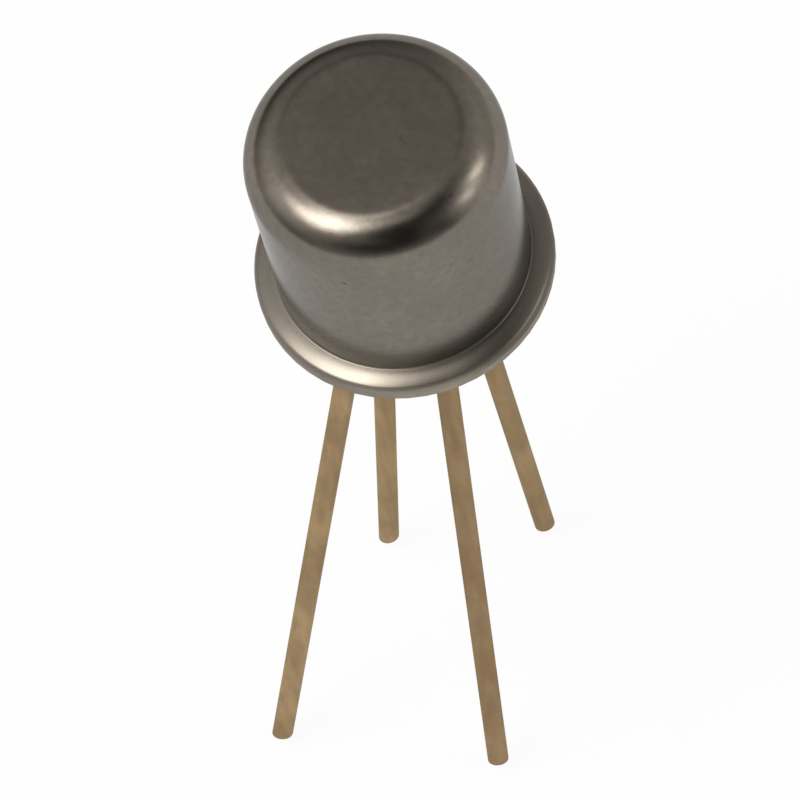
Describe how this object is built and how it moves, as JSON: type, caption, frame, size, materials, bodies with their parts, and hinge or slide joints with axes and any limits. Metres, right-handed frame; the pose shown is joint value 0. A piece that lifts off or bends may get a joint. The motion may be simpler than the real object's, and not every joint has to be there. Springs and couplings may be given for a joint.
{
  "type": "dual-gate mosfet",
  "caption": "Small metal-can field-effect transistor: a drawn can welded to a tabbed, glass-sealed header, with the die inside and splayed round wire leads below.",
  "frame": {"origin": "centre of the seating plane, which is the underside of the header's flange", "axes": "+Z along the can's axis towards its top, +Y towards the header's indexing tab"},
  "size_m": [0.0064, 0.0084, 0.0184],
  "materials": {
    "can_nickel": "satin, slightly mottled",
    "header_plating": "dull plating",
    "lead_gold": "matte worn gold plating",
    "seal_glass": "dark sealing glass",
    "silicon": "polished silicon",
    "preform_gold": "wetted solder preform",
    "wire_gold": "bright drawn wire"
  },
  "bodies": {
    "root": {"cap": "can_nickel", "header": "header_plating", "glass_seal": "seal_glass", "lead_drain": "lead_gold", "lead_gate_2": "lead_gold", "lead_gate_1": "lead_gold", "lead_source": "lead_gold", "mosfet_die": "silicon", "die_attach": "preform_gold", "wire_drain": "wire_gold", "wire_gate_2": "wire_gold", "wire_gate_1": "wire_gold", "wire_source": "wire_gold"}
  },
  "joints": []
}
